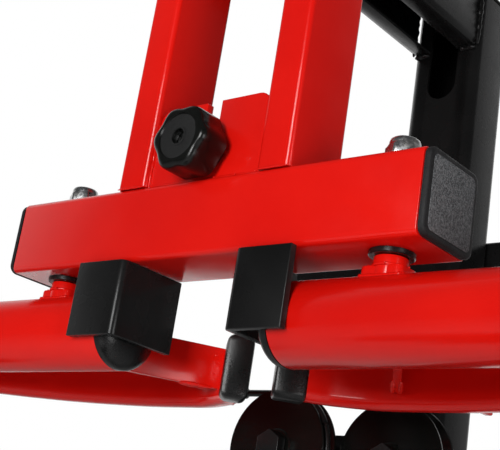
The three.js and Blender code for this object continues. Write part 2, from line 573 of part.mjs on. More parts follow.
  // A fixed bolt runs through both ears and the sector's slot. The knob on its end pinches them together.
  const boltEnd = half + 38;
  const clampShank = rod('x', -half - 8, boltEnd, LATCH.pin, [latchY, HINGE.z], 20);
  const clampHead = rod('x', -half - 13, -half - 6 - GAP, hexRadius(17), [latchY, HINGE.z], 6);
  add('back_clamp_bolt', join(clampShank, clampHead), ZINC);
  const knob = rod('x', half + 22, half + 48, 14, [latchY, HINGE.z], 18);
  const thread = rod('x', half + 21, boltEnd + 1, LATCH.pin + 0.4, [latchY, HINGE.z], 20);
  add('back_clamp_knob', cut(knob, thread), GLOSS_BLACK);
}

// ---- leg developer and foam rollers ----
function buildLegs() {
  const half = LEG.width / 2;
  const tube = bar('z', LEG.bottom, LEG.z + 15, LEG.width, LEG.width, 5, 0).translate(0, LEG.y, 0);
  const rodY = LEG.y - half - LEG.rod + 3;
  const rodZ = LEG.bottom + 38;
  const lowerRod = rod('x', -ROLLER.outer - 6, ROLLER.outer + 6, LEG.rod, [rodY, rodZ], 16);
  const pinHole = rod('x', -30, 30, 7.4, [LEG.y, LEG.z], 20);
  add('leg_lever', cut(join(tube, lowerRod), pinHole), BLACK);
  for (const [level, y, z] of [['upper', LEG.y - 8, LEG.z + 55], ['lower', rodY, rodZ]]) {
    for (const [side, sign] of SIDES) {
      const foam = rod('x', ...span(sign, ROLLER.inner, ROLLER.outer), ROLLER.radius, [y, z], 20);
      const bore = rod('x', ...span(sign, ROLLER.inner - 1, ROLLER.outer + 1), LEG.rod + GAP, [y, z], 16);
      add(`roller_${level}_${side}`, cut(foam, bore), FOAM);
    }
  }
}

buildBase();
buildMast();
buildYoke();
buildKnob();
buildArms();
buildCables();
buildCarriage();
buildBench();
buildLegs();

const group = new THREE.Group();
group.add(bench);
group.updateMatrixWorld(true);

export default group;
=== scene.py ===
import json
import math

import bmesh
import bpy
from mathutils import Matrix, Vector, noise


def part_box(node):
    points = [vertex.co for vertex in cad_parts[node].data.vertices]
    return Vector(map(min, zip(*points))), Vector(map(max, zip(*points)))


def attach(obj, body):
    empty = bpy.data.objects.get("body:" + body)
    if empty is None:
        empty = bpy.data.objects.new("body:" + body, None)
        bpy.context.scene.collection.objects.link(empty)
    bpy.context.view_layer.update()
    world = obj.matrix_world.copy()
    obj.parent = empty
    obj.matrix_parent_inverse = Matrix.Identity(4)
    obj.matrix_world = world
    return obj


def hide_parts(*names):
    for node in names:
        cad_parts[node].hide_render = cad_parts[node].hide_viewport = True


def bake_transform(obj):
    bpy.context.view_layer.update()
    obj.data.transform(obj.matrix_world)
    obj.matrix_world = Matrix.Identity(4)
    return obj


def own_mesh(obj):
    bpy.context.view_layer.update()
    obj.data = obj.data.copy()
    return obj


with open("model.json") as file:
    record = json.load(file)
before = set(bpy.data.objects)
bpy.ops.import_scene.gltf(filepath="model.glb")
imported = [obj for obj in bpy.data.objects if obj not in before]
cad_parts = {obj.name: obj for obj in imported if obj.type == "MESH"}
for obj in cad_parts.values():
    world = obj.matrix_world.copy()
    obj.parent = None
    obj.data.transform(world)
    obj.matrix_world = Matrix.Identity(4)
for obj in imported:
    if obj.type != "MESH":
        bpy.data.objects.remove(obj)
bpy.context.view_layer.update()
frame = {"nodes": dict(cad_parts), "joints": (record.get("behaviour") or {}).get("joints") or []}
MM = 0.001

# ---- places that come from the frame ----
BEAM_LO, BEAM_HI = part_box("yoke_beam")
BEAM_FRONT = BEAM_LO.y
BEAM_BOTTOM = BEAM_LO.z
SIDES = (("left", -1), ("right", 1))
JOINTS = {joint["name"]: joint for joint in frame["joints"]}


def middle(node):
    low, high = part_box(node)
    return (low + high) / 2


def at_beam(x, y, z):
    """A point given in millimetres from the middle of the beam's lower front edge."""
    return Vector((x * MM, BEAM_FRONT + y * MM, BEAM_BOTTOM + z * MM))


# ---- camera ----
CAMERA_FROM_BEAM = (483.5, -476.1, -190.0)
CAMERA_TURN = math.radians(42.36)
CAMERA_TILT = math.radians(17.65)
CAMERA_ROLL = math.radians(9.05)
CAMERA_LENS = 84.35


def make_camera():
    turn, tilt, roll = CAMERA_TURN, CAMERA_TILT, CAMERA_ROLL
    forward = Vector((-math.sin(turn) * math.cos(tilt), math.cos(turn) * math.cos(tilt), math.sin(tilt)))
    level = Vector((math.cos(turn), math.sin(turn), 0))
    upright = level.cross(forward)
    right = level * math.cos(roll) + upright * math.sin(roll)
    up = upright * math.cos(roll) - level * math.sin(roll)
    data = bpy.data.cameras.new("camera")
    data.lens = CAMERA_LENS
    data.sensor_width = 36
    data.sensor_fit = "HORIZONTAL"
    data.clip_start = 0.02
    camera = bpy.data.objects.new("camera", data)
    bpy.context.scene.collection.objects.link(camera)
    turned = Matrix((right, up, -forward)).transposed().to_4x4()
    camera.matrix_world = Matrix.Translation(at_beam(*CAMERA_FROM_BEAM)) @ turned
    bpy.context.scene.camera = camera


make_camera()


# ---- world, floor and lights ----
WHITE_SIDE = (-0.67, 0.74, 0.0)


def make_world():
    world = bpy.data.worlds.new("studio")
    bpy.context.scene.world = world
    world.use_nodes = True
    nodes, links = world.node_tree.nodes, world.node_tree.links
    background = nodes["Background"]
    place = nodes.new("ShaderNodeTexCoord")
    across = nodes.new("ShaderNodeVectorMath")
    ramp = nodes.new("ShaderNodeValToRGB")
    remap = nodes.new("ShaderNodeMapRange")
    # White on the side behind the mast's left, and a darker room around the rest.
    across.operation = "DOT_PRODUCT"
    across.inputs[1].default_value = WHITE_SIDE
    remap.inputs["From Min"].default_value = -1.0
    remap.inputs["From Max"].default_value = 1.0
    ramp.color_ramp.elements[0].position = 0.6
    ramp.color_ramp.elements[0].color = (0.1, 0.1, 0.102, 1)
    ramp.color_ramp.elements[1].position = 0.86
    ramp.color_ramp.elements[1].color = (1, 1, 1, 1)
    links.new(place.outputs["Generated"], across.inputs[0])
    links.new(across.outputs["Value"], remap.inputs["Value"])
    links.new(remap.outputs["Result"], ramp.inputs[0])
    links.new(ramp.outputs[0], background.inputs["Color"])
    background.inputs["Strength"].default_value = 1.0


def area_light(name, place, target, size, power):
    data = bpy.data.lights.new(name, "AREA")
    data.energy = power
    data.size = size
    light = bpy.data.objects.new(name, data)
    bpy.context.scene.collection.objects.link(light)
    light.location = place
    light.rotation_euler = (Vector(target) - Vector(place)).to_track_quat("-Z", "Y").to_euler()


make_world()
bpy.context.scene.view_settings.view_transform = "Standard"
YOKE_MIDDLE = at_beam(0, 25, 20)
area_light("key", YOKE_MIDDLE + Vector((0.65, -2.35, 0.15)), YOKE_MIDDLE, 1.0, 51)
area_light("side", YOKE_MIDDLE + Vector((2.5, -0.5, -0.4)), YOKE_MIDDLE, 1.0, 19)


# ---- materials ----
METAL_SPECULAR = 0.5
SOFT_SPECULAR = 0.28
BLACK_SPECULAR = 0.2
NOISE = "ShaderNodeTexNoise"
VORONOI = "ShaderNodeTexVoronoi"


def new_material(name, color, roughness, metallic=0.0):
    item = bpy.data.materials.new(name)
    item.use_nodes = True
    shader = item.node_tree.nodes["Principled BSDF"]
    shader.inputs["Base Color"].default_value = (*color, 1)
    shader.inputs["Roughness"].default_value = roughness
    shader.inputs["Metallic"].default_value = metallic
    shader.inputs["Specular IOR Level"].default_value = METAL_SPECULAR if metallic else SOFT_SPECULAR
    return item, shader


def texture(item, kind, scale, detail=3.0):
    nodes, links = item.node_tree.nodes, item.node_tree.links
    place = nodes.new("ShaderNodeTexCoord")
    tex = nodes.new(kind)
    tex.inputs["Scale"].default_value = scale
    if "Detail" in tex.inputs:
        tex.inputs["Detail"].default_value = detail
    links.new(place.outputs["Object"], tex.inputs["Vector"])
    return tex.outputs["Distance"] if kind == VORONOI else tex.outputs[0]


def vary_roughness(item, shader, source, low, high):
    ranged = item.node_tree.nodes.new("ShaderNodeMapRange")
    ranged.inputs["From Min"].default_value = 0.3
    ranged.inputs["From Max"].default_value = 0.7
    ranged.inputs["To Min"].default_value = low
    ranged.inputs["To Max"].default_value = high
    item.node_tree.links.new(source, ranged.inputs["Value"])
    item.node_tree.links.new(ranged.outputs["Result"], shader.inputs["Roughness"])


def vary_color(item, source, dark, light, low=0.35, high=0.65):
    ramp = item.node_tree.nodes.new("ShaderNodeValToRGB")
    ramp.color_ramp.elements[0].position = low
    ramp.color_ramp.elements[0].color = (*dark, 1)
    ramp.color_ramp.elements[1].position = high
    ramp.color_ramp.elements[1].color = (*light, 1)
    item.node_tree.links.new(source, ramp.inputs[0])
    return ramp.outputs[0]


def worn_edges(item, color, worn, amount):
    """Mixes a worn colour in where the surface bends outwards."""
    nodes, links = item.node_tree.nodes, item.node_tree.links
    geometry = nodes.new("ShaderNodeNewGeometry")
    ranged = nodes.new("ShaderNodeMapRange")
    ranged.inputs["From Min"].default_value = 0.54
    ranged.inputs["From Max"].default_value = 0.68
    ranged.inputs["To Max"].default_value = amount
    mix = nodes.new("ShaderNodeMix")
    mix.data_type = "RGBA"
    mix.inputs["B"].default_value = (*worn, 1)
    links.new(geometry.outputs["Pointiness"], ranged.inputs["Value"])
    links.new(ranged.outputs["Result"], mix.inputs["Factor"])
    links.new(color, mix.inputs["A"])
    return mix.outputs["Result"]


def bump(item, shader, layers):
    """layers holds (height, strength, distance in metres), from coarse to fine."""
    previous = None
    for height, strength, distance in layers:
        node = item.node_tree.nodes.new("ShaderNodeBump")
        node.inputs["Strength"].default_value = strength
        node.inputs["Distance"].default_value = distance
        item.node_tree.links.new(height, node.inputs["Height"])
        if previous:
            item.node_tree.links.new(previous, node.inputs["Normal"])
        previous = node.outputs["Normal"]
    item.node_tree.links.new(previous, shader.inputs["Normal"])


def coated_metal(name, dark, light, worn, rough, peel, coat, specular):
    """Powder coat on steel: cloudy colour, a fine orange peel, and paler worn edges."""
    item, shader = new_material(name, light, rough[0])
    clouds = texture(item, NOISE, 14, 4)
    color = vary_color(item, clouds, dark, light)
    item.node_tree.links.new(worn_edges(item, color, worn, 0.35), shader.inputs["Base Color"])
    vary_roughness(item, shader, texture(item, NOISE, 45, 5), *rough)
    shader.inputs["Specular IOR Level"].default_value = specular
    shader.inputs["Coat Weight"].default_value = coat
    shader.inputs["Coat Roughness"].default_value = 0.12
    coarse = texture(item, NOISE, 420, 1)
    fine = texture(item, NOISE, 1900, 2)
    bump(item, shader, [(coarse, peel, 0.0004), (fine, peel, 0.0001)])
    return item


def moulded(name, dark, light, rough, grain_scale, grain):
    """Moulded plastic, rubber or foam with a speckled grain."""
    item, shader = new_material(name, light, rough[0])
    specks = texture(item, NOISE, grain_scale, 4)
    color = vary_color(item, specks, dark, light)
    worn = tuple(2 * c for c in light)
    item.node_tree.links.new(worn_edges(item, color, worn, 0.3), shader.inputs["Base Color"])
    vary_roughness(item, shader, texture(item, NOISE, 60, 4), *rough)
    bump(item, shader, [(texture(item, VORONOI, grain_scale), grain, 0.0004), (specks, grain / 2, 0.0003)])
    return item


def zinc_plate():
    item, shader = new_material("zinc_plate", (0.45, 0.46, 0.46), 0.3, 1.0)
    clouds = texture(item, NOISE, 180, 4)
    color = vary_color(item, clouds, (0.34, 0.35, 0.36), (0.6, 0.6, 0.58))
    item.node_tree.links.new(color, shader.inputs["Base Color"])
    vary_roughness(item, shader, texture(item, NOISE, 600, 4), 0.18, 0.4)
    bump(item, shader, [(texture(item, NOISE, 900, 3), 0.15, 0.0002)])
    return item


def vinyl():
    item, shader = new_material("vinyl", (0.018, 0.018, 0.019), 0.45)
    clouds = texture(item, NOISE, 22, 4)
    color = vary_color(item, clouds, (0.012, 0.012, 0.013), (0.024, 0.024, 0.025))
    item.node_tree.links.new(worn_edges(item, color, (0.05, 0.05, 0.05), 0.3), shader.inputs["Base Color"])
    vary_roughness(item, shader, texture(item, NOISE, 240, 4), 0.36, 0.56)
    shader.inputs["Sheen Weight"].default_value = 0.05
    pebbles = texture(item, VORONOI, 620)
    pores = texture(item, NOISE, 1500, 3)
    bump(item, shader, [(pebbles, 0.45, 0.0004), (pores, 0.3, 0.0002)])
    return item


RED_DARK, RED_LIGHT, RED_WORN = (0.66, 0.0055, 0.0028), (0.72, 0.0075, 0.0036), (0.76, 0.02, 0.012)
RED = coated_metal("red_coat", RED_DARK, RED_LIGHT, RED_WORN, (0.16, 0.26), 0.06, 0.06, SOFT_SPECULAR)
BLACK_DARK, BLACK_LIGHT, BLACK_WORN = (0.004,) * 3, (0.0075,) * 3, (0.04,) * 3
BLACK = coated_metal("black_coat", BLACK_DARK, BLACK_LIGHT, BLACK_WORN, (0.2, 0.32), 0.1, 0.0, BLACK_SPECULAR)
CAP_GREY = moulded("cap_grain", (0.035, 0.037, 0.04), (0.16, 0.165, 0.17), (0.6, 0.8), 1100, 0.8)
CAP_RIM = moulded("cap_rim", (0.006, 0.006, 0.0065), (0.012, 0.012, 0.013), (0.5, 0.65), 1400, 0.3)
GLOSS = moulded("gloss_plastic", (0.0028, 0.003, 0.0026), (0.0045, 0.0048, 0.0042), (0.16, 0.26), 700, 0.05)
DISH = moulded("dish_grain", (0.0025, 0.0025, 0.0025), (0.016, 0.016, 0.016), (0.45, 0.65), 1500, 0.9)
RUBBER = moulded("rubber", (0.005, 0.005, 0.005), (0.009, 0.009, 0.009), (0.22, 0.32), 900, 0.1)
FOAM = moulded("foam_skin", (0.01, 0.01, 0.01), (0.026, 0.026, 0.026), (0.78, 0.92), 1300, 0.9)
ZINC = zinc_plate()
VINYL = vinyl()
SLOT_OF = {
    RED: "red_powder_coat",
    BLACK: "black_powder_coat",
    CAP_GREY: "grained_cap_plastic",
    CAP_RIM: "grained_cap_plastic",
    GLOSS: "gloss_black_plastic",
    DISH: "gloss_black_plastic",
    RUBBER: "black_rubber",
    FOAM: "foam_sleeve",
    ZINC: "zinc_plated_steel",
    VINYL: "black_vinyl",
}


# ---- shapes: each is (points, faces, material) ----
AXES = {
    "x": lambda u, v, w: (w, u, v),
    "y": lambda u, v, w: (u, w, v),
    "z": lambda u, v, w: (u, v, w),
}


def rounded(a, b, corner, steps=7):
    """A rectangle of sides a and b with round corners."""
    points = []
    for sx, sy, start in ((1, 1, 0), (-1, 1, 90), (-1, -1, 180), (1, -1, 270)):
        for i in range(steps + 1):
            angle = math.radians(start + 90 * i / steps)
            x = sx * (a / 2 - corner) + corner * math.cos(angle)
            y = sy * (b / 2 - corner) + corner * math.sin(angle)
            points.append((x, y))
    return points


def circle(radius, steps=72):
    angles = [2 * math.pi * i / steps for i in range(steps)]
    return [(radius * math.cos(angle), radius * math.sin(angle)) for angle in angles]


def lobed(radius, depth, count, steps):
    """A circle whose edge waves in and out, count times round. radius and depth are in millimetres."""
    outline = []
    for i in range(steps):
        angle = 2 * math.pi * i / steps
        reach = (radius + depth * math.cos(count * angle)) * MM
        outline.append((reach * math.cos(angle), reach * math.sin(angle)))
    return outline


def loft(rings, material, closed=False):
    """Joins rings of points into a tube with flat ends, or into a closed ring."""
    points = [Vector(p) for ring in rings for p in ring]
    count = len(rings[0])
    faces = []
    for r in range(len(rings) if closed else len(rings) - 1):
        near, far = r * count, (r + 1) % len(rings) * count
        for i in range(count):
            j = (i + 1) % count
            faces.append((near + i, near + j, far + j, far + i))
    if not closed:
        faces.append(tuple(range(count))[::-1])
        faces.append(tuple((len(rings) - 1) * count + i for i in range(count)))
    return points, faces, material


def placed(axis, outline, w, at):
    """An outline at height w along the axis, with at the point of the plane across it."""
    return [AXES[axis](u + at[0], v + at[1], w) for u, v in outline]


def bar(axis, low, high, a, b, corner, at, material, edge=0.6 * MM):
    """A square bar or tube along an axis, with round corners and eased ends."""
    rings = []
    for w, inset in ((low, edge), (low + 0.3 * edge, 0.3 * edge), (low + edge, 0)):
        rings.append((w, inset))
    rings += [(low + high - w, inset) for w, inset in reversed(rings)]
    made = []
    for w, inset in rings:
        outline = rounded(a - 2 * inset, b - 2 * inset, max(corner - inset, 0.2 * MM))
        made.append(placed(axis, outline, w, at))
    return loft(made, material)


def lathe(axis, profile, at, material, closed=False, steps=72):
    """Turns a profile of (radius, height) round an axis."""
    rings = [placed(axis, circle(max(radius, 0.02 * MM), steps), w, at) for radius, w in profile]
    return loft(rings, material, closed)


def rod(axis, low, high, radius, at, material, edge=0.8 * MM, steps=72):
    profile = [(radius - edge, low), (radius - 0.3 * edge, low + 0.3 * edge), (radius, low + edge)]
    profile += [(radius, high - edge), (radius - 0.3 * edge, high - 0.3 * edge), (radius - edge, high)]
    return lathe(axis, profile, at, material, steps=steps)


def hexagon(axis, low, high, flats, at, material):
    """A hexagon head or nut, with the curved chamfers of the real ones."""
    steps = 72
    chamfer = 0.13 * flats
    rings = []
    for w, limit in ((low, 0.475), (low + chamfer, 0.62), (high - chamfer, 0.62), (high, 0.475)):
        outline = []
        for i in range(steps):
            angle = 2 * math.pi * i / steps
            flat = flats / 2 / math.cos((angle + math.pi / 6) % (math.pi / 3) - math.pi / 6)
            radius = min(flat, limit * flats)
            outline.append((radius * math.cos(angle), radius * math.sin(angle)))
        rings.append(placed(axis, outline, w, at))
    return loft(rings, material)


def sweep(path, outline, material):
    """Carries an outline (across, up) along a path of points."""
    rings = []
    for i, point in enumerate(path):
        ahead = path[min(i + 1, len(path) - 1)] - path[max(i - 1, 0)]
        ahead.normalize()
        reference = Vector((0, 0, 1)) if abs(ahead.z) < 0.9 else Vector((0, 1, 0))
        across = ahead.cross(reference).normalized()
        up = across.cross(ahead)
        rings.append([point + across * u + up * v for u, v in outline])
    return loft(rings, material)


def smooth_path(points, per_span=10):
    """A Catmull-Rom curve through the points."""
    ends = [2 * points[0] - points[1], *points, 2 * points[-1] - points[-2]]
    path = []
    for i in range(1, len(ends) - 2):
        p0, p1, p2, p3 = ends[i - 1 : i + 3]
        for k in range(per_span):
            t = k / per_span
            bend = (2 * p0 - 5 * p1 + 4 * p2 - p3) * t * t + (3 * p1 - p0 - 3 * p2 + p3) * t ** 3
            path.append(0.5 * (2 * p1 + (p2 - p0) * t + bend))
    path.append(points[-1])
    return path


WELD_STEPS = 28


def weld(points, radius, material=RED):
    """A weld bead: a run of overlapping ripples."""
    if len(points) > 2:
        path = smooth_path(points, 14)
    else:
        path = [points[0].lerp(points[1], i / WELD_STEPS) for i in range(WELD_STEPS + 1)]
    length = sum((b - a).length for a, b in zip(path, path[1:]))
    rings = []
    for i, point in enumerate(path):
        ahead = (path[min(i + 1, len(path) - 1)] - path[max(i - 1, 0)]).normalized()
        reference = Vector((0, 0, 1)) if abs(ahead.z) < 0.9 else Vector((0, 1, 0))
        across = ahead.cross(reference).normalized()
        up = across.cross(ahead)
        run = length * i / (len(path) - 1)
        ends = min(1, 0.35 + 4 * min(i, len(path) - 1 - i) / len(path))
        size = radius * ends * (1 + 0.12 * math.sin(run / (1.1 * MM)) + 0.25 * noise.noise(point * 300))
        rings.append([point + (across * u + up * v) * size for u, v in circle(1, 14)])
    return loft(rings, material)


def spatter(points, radius, material=RED):
    """Small round weld drops."""
    made = []
    for i, point in enumerate(points):
        size = radius * (0.6 + 0.4 * abs(noise.noise(point * 900 + Vector((i, 0, 0)))))
        angles = [math.pi * k / 6 for k in range(7)]
        profile = [(size * math.sin(angle), point.z - size * math.cos(angle)) for angle in angles]
        made.append(lathe("z", profile, (point.x, point.y), material, steps=10))
    return made


def box_shape(low, high, material, edge=0.6 * MM):
    size = Vector(high) - Vector(low)
    at = ((low[0] + high[0]) / 2, (low[1] + high[1]) / 2)
    return bar("z", low[2], high[2], size.x, size.y, edge, at, material, edge)


# ---- pieces ----
def build(name, shapes, smooth_angle=38):
    mesh = bpy.data.meshes.new(name)
    points, faces, slots, materials = [], [], [], []
    for shape_points, shape_faces, material in shapes:
        if material not in materials:
            materials.append(material)
        base = len(points)
        points += shape_points
        faces += [tuple(base + i for i in face) for face in shape_faces]
        slots += [materials.index(material)] * len(shape_faces)
    mesh.from_pydata([tuple(p) for p in points], [], faces)
    for material in materials:
        mesh.materials.append(material)
    mesh.polygons.foreach_set("material_index", slots)
    work = bmesh.new()
    work.from_mesh(mesh)
    bmesh.ops.recalc_face_normals(work, faces=work.faces)
    work.to_mesh(mesh)
    work.free()
    obj = bpy.data.objects.new(name, mesh)
    bpy.context.scene.collection.objects.link(obj)
    shade(obj, smooth_angle)
    return obj


def shade(obj, angle=38):
    obj.data.polygons.foreach_set("use_smooth", [True] * len(obj.data.polygons))
    obj.data.set_sharp_from_angle(angle=math.radians(angle))


def piece(name, body, shapes, *nodes, smooth_angle=38):
    obj = build(name, shapes, smooth_angle)
    return fixed(obj, body, SLOT_OF[shapes[0][2]], *nodes)


def fixed(obj, body, slot, *nodes):
    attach(obj, body)
    if nodes:
        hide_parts(*nodes)
    return obj


def apply_modifiers(obj):
    bpy.context.view_layer.update()
    evaluated = obj.evaluated_get(bpy.context.evaluated_depsgraph_get())
    mesh = bpy.data.meshes.new_from_object(evaluated)
    obj.modifiers.clear()
    obj.data = mesh


def carve(obj, *cutters):
    for shapes in cutters:
        cutter = build("cutter", [shapes])
        step = obj.modifiers.new("cut", "BOOLEAN")
        step.operation = "DIFFERENCE"
        step.solver = "EXACT"
        step.object = cutter
        apply_modifiers(obj)
        bpy.data.objects.remove(cutter)
    shade(obj)


def refined(node, body, material, width=0.9 * MM):
    """A finer copy of a CAD node, with rounded edges and one closed smooth surface."""
    source = frame["nodes"][node]
    mesh = source.data.copy()
    mesh.materials.clear()
    mesh.materials.append(material)
    obj = bpy.data.objects.new(f"{node}_fine", mesh)
    bpy.context.scene.collection.objects.link(obj)
    work = bmesh.new()
    work.from_mesh(mesh)
    bmesh.ops.remove_doubles(work, verts=work.verts, dist=0.02 * MM)
    bmesh.ops.dissolve_limit(work, angle_limit=math.radians(1), verts=work.verts, edges=work.edges)
    work.to_mesh(mesh)
    work.free()
    mesh.polygons.foreach_set("material_index", [0] * len(mesh.polygons))
    rounding = obj.modifiers.new("edges", "BEVEL")
    rounding.width = width
    rounding.segments = 3
    rounding.limit_method = "ANGLE"
    rounding.angle_limit = math.radians(32)
    apply_modifiers(obj)
    shade(obj, 40)
    return fixed(obj, body, SLOT_OF[material], node)


# ---- floor ----
def make_floor():
    item, shader = new_material("floor", (0.86, 0.86, 0.86), 0.6)
    color = vary_color(item, texture(item, NOISE, 3, 3), (0.84, 0.84, 0.84), (0.88, 0.88, 0.88))
    item.node_tree.links.new(color, shader.inputs["Base Color"])
    floor = build("floor", [box_shape((-5, -5, -0.02), (5, 5, 0.0), item)])


make_floor()


# ---- yoke ----
BEAM_CORNER = 4 * MM


def make_yoke():
    size = BEAM_HI.y - BEAM_LO.y
    centre = (middle("yoke_beam").y, middle("yoke_beam").z)
    beam = bar("x", BEAM_LO.x, BEAM_HI.x, size, size, BEAM_CORNER, centre, RED)
    piece("yoke_beam_fine", "root", [beam], "yoke_beam")
    for side, sign in SIDES:
        low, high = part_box(f"beam_cap_{side}")
        outer = high.x if sign > 0 else low.x
        face = BEAM_HI.x if sign > 0 else BEAM_LO.x
        make_beam_cap(side, sign, face, outer, size, centre)
        make_post(side)
        make_stop(side)
        make_pivot(side)
    plate_low, plate_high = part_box("slotted_plate")
    refined("slotted_plate", "root", RED, 0.7 * MM)
    for node in ("yoke_bolt_lower", "yoke_bolt_upper"):
        low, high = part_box(node)
        at = (middle(node).y, middle(node).z)
        shapes = [
            rod("x", low.x + 1 * MM, high.x, 5 * MM, at, ZINC),
            hexagon("x", low.x, low.x + 6.4 * MM, 17 * MM, at, ZINC),
            hexagon("x", high.x - 13 * MM, high.x - 4 * MM, 17 * MM, at, ZINC),
        ]
        piece(f"{node}_fine", "root", shapes, node)
    make_yoke_welds(plate_low, plate_high)


def make_yoke_welds(plate_low, plate_high):
    """Beads round the feet of the posts and the plate, with a few drops of spatter on the beam."""
    beads = []
    top = BEAM_HI.z
    front = BEAM_FRONT - 0.2 * MM
    plate_face = plate_low.y
    for side, sign in SIDES:
        low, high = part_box(f"yoke_post_{side}")
        inner = low.x if sign > 0 else high.x
        outer = high.x if sign > 0 else low.x
        ends = (low.y + 3 * MM, high.y - 3 * MM)
        beads.append(weld([Vector((outer, y, top)) for y in ends], 1.5 * MM))
        beads.append(weld([Vector((x, front, top)) for x in (low.x + 1 * MM, high.x - 1 * MM)], 0.7 * MM))
        levels = (top, plate_high.z - 9 * MM)
        beads.append(weld([Vector((inner, plate_face, z)) for z in levels], 1.0 * MM))
    beads.append(weld([Vector((x, plate_face, top)) for x in (plate_low.x, plate_high.x)], 1.2 * MM))
    drops = []
    for i in range(9):
        x = plate_high.x - 34 * MM + 5.5 * i * MM
        drops.append(Vector((x, BEAM_FRONT + (2 + 1.5 * (i % 3)) * MM, top)))
    piece("yoke_welds", "root", [*beads, *spatter(drops, 0.8 * MM)])


def make_beam_cap(side, sign, face, outer, size, centre):
    """A plug with a dark rim and a grained face."""
    rings = []
    for away, inset in ((0, 0.9), (0.5, 0.9), (0.5, 0), (2.9, 0), (3.7, 0.4), (4.2, 1.4), (4.2, 3.2)):
        outline = rounded(size - 2 * inset * MM, size - 2 * inset * MM, (6 - min(inset, 3)) * MM)
        rings.append(placed("x", outline, face + sign * (0.3 + away) * MM, centre))
    rim = loft(rings, CAP_RIM)
    inner = size - 7.2 * MM
    span = sorted((outer - sign * 1.5 * MM, outer + sign * 0.25 * MM))
    panel = bar("x", *span, inner, inner, 4 * MM, centre, CAP_GREY, 0.25 * MM)
    piece(f"beam_cap_{side}_fine", "root", [panel, rim], f"beam_cap_{side}")


def make_post(side):
    node = f"yoke_post_{side}"
    low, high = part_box(node)
    at = (middle(node).x, middle(node).y)
    width, depth = high.x - low.x, high.y - low.y
    shape = bar("z", low.z, high.z, width, depth, 3.5 * MM, at, RED)
    piece(f"{node}_fine", "root", [shape], node)
    span = (high.z + 0.2 * MM, high.z + 3.5 * MM)
    cap = bar("z", *span, width, depth, 4 * MM, at, RUBBER, 1.2 * MM)
    piece(f"post_top_cap_{side}", "root", [cap])


def make_stop(side):
    node = f"stop_{side}"
    refined(node, "root", BLACK, 0.6 * MM)
    low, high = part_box(node)
    drops = []
    for i in range(6):
        drops.append(Vector((low.x + (5 + 6.4 * i) * MM, low.y + 5.3 * MM, high.z - 0.4 * MM)))
    ends = (low.x + 2 * MM, high.x - 2 * MM)
    bead = weld([Vector((x, low.y + 5 * MM, high.z)) for x in ends], 0.8 * MM, BLACK)
    piece(f"stop_weld_{side}", "root", [bead, *spatter(drops, 0.7 * MM, BLACK)])


def make_pivot(side):
    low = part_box(f"pivot_bolt_{side}")[0]
    at = (middle(f"pivot_bolt_{side}").x, middle(f"pivot_bolt_{side}").y)
    top = BEAM_HI.z
    collar = [(9, 11.5), (9, 14), (8.5, 15.5), (7.5, 16.3), (6.5, 16.5)]
    collar += [(6.5, 15), (6, 15), (5.5, 15.7), (0, 15.7)]
    shapes = [
        hexagon("z", top + 0.3 * MM, top + 13 * MM, 18.8 * MM, at, ZINC),
        lathe("z", [(r * MM, top + z * MM) for r, z in collar], at, ZINC),
        rod("z", low.z, top + 6 * MM, 6 * MM, at, ZINC),
    ]
    piece(f"pivot_bolt_{side}_fine", "root", shapes, f"pivot_bolt_{side}")
    low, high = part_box(f"pivot_washer_{side}")
    bore, rim = 6.4 * MM, 13 * MM
    ease = 0.6 * MM
    ring = [(bore, low.z), (rim - ease, low.z), (rim, low.z + ease), (rim, high.z), (bore, high.z)]
    washer = lathe("z", ring, at, RUBBER, closed=True)
    piece(f"pivot_washer_{side}_fine", "root", [washer], f"pivot_washer_{side}")


# ---- clamp knob, in millimetres ----
KNOB_RADIUS = 20.6
KNOB_LOBE = 1.1
KNOB_LOBES = 6


def make_knob():
    low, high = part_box("clamp_knob")
    at = (middle("clamp_knob").x, middle("clamp_knob").z)
    steps = 144
    back, front = high.y, low.y
    rings = []
    for radius, away in ((15.2, 0), (16, 0.8), (16, 3.2)):
        rings.append(placed("y", circle(radius * MM, steps), back - away * MM, at))
    for inset, away in ((2.6, 3.6), (0.8, 4.2), (0, 5.4)):
        outline = lobed(KNOB_RADIUS - inset, KNOB_LOBE, KNOB_LOBES, steps)
        rings.append(placed("y", outline, back - away * MM, at))
    for inset, away in ((0, 4.2), (0.5, 2.2), (1.6, 0.8), (3.2, 0.1), (4.4, 0)):
        outline = lobed(KNOB_RADIUS - inset, KNOB_LOBE, KNOB_LOBES, steps)
        rings.append(placed("y", outline, front + away * MM, at))
    rings.append(placed("y", circle(14.9 * MM, steps), front + 0.1 * MM, at))
    rings.append(placed("y", circle(14.4 * MM, steps), front + 1.2 * MM, at))
    grip = loft(rings, GLOSS)
    dish_profile = [(14.5, 1.4), (14.5, 1.1), (6.3, 1.1), (6.0, 0.5), (5.2, 0.5), (4.9, 1.2), (4.9, 1.4)]
    dish = lathe("y", [(r * MM, front + away * MM) for r, away in dish_profile], at, DISH, closed=True)
    knob = piece("clamp_knob_fine", "knob", [grip, dish], "clamp_knob")
    carve(knob, rod("y", front - 2 * MM, front + 15 * MM, 4.9 * MM, at, RUBBER))
    low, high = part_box("clamp_bolt")
    shapes = [
        rod("y", low.y, high.y, 4.6 * MM, at, ZINC),
        rod("y", high.y - 10 * MM, high.y - 3 * MM, 13 * MM, at, ZINC),
    ]
    piece("clamp_bolt_fine", "root", shapes, "clamp_bolt")


